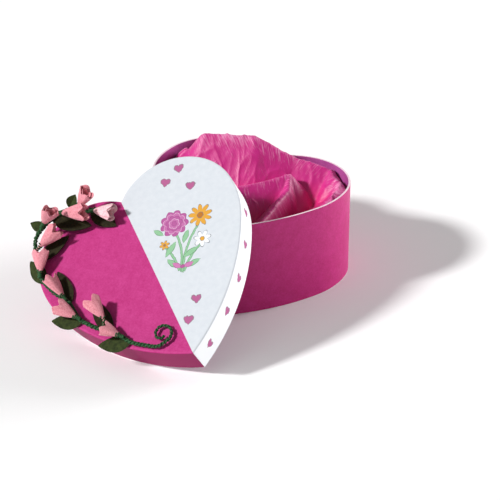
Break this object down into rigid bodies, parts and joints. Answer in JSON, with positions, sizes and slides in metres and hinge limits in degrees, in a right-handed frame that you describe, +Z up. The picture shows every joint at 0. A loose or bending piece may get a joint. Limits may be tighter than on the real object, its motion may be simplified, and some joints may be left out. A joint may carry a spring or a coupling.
{
  "type": "heart-shaped cardboard box",
  "caption": "Heart-shaped cardboard gift box lined with tissue paper, its painted lid leaning on it and trimmed with a felt bud garland.",
  "frame": {"origin": "on the box's underside, on the heart's axis, level with the middle of its two lobes", "axes": "+Z up, -Y towards the tip of the heart and the leaning lid, +X to the right of someone facing the tip"},
  "size_m": [0.2267, 0.2954, 0.1349],
  "materials": {
    "box_card": "satin",
    "lid_card": "satin",
    "tissue": "satin",
    "bud_felt": "matte",
    "leaf_felt": "matte",
    "wire": "matte"
  },
  "bodies": {
    "root": {"box_wall": "box_card", "box_floor": "box_card", "lid_rim": "lid_card", "lid_panel": "lid_card", "tissue_paper": "tissue", "garland_wire": "wire", "flower_1": "bud_felt", "flower_2": "bud_felt", "flower_3": "bud_felt", "flower_4": "bud_felt", "flower_5": "bud_felt", "flower_6": "bud_felt", "flower_7": "bud_felt", "flower_8": "bud_felt", "flower_9": "bud_felt", "flower_10": "bud_felt", "leaf_1": "leaf_felt", "leaf_2": "leaf_felt", "leaf_3": "leaf_felt", "leaf_4": "leaf_felt", "leaf_5": "leaf_felt", "leaf_6": "leaf_felt", "leaf_7": "leaf_felt", "leaf_8": "leaf_felt", "leaf_9": "leaf_felt", "leaf_10": "leaf_felt"}
  },
  "joints": []
}
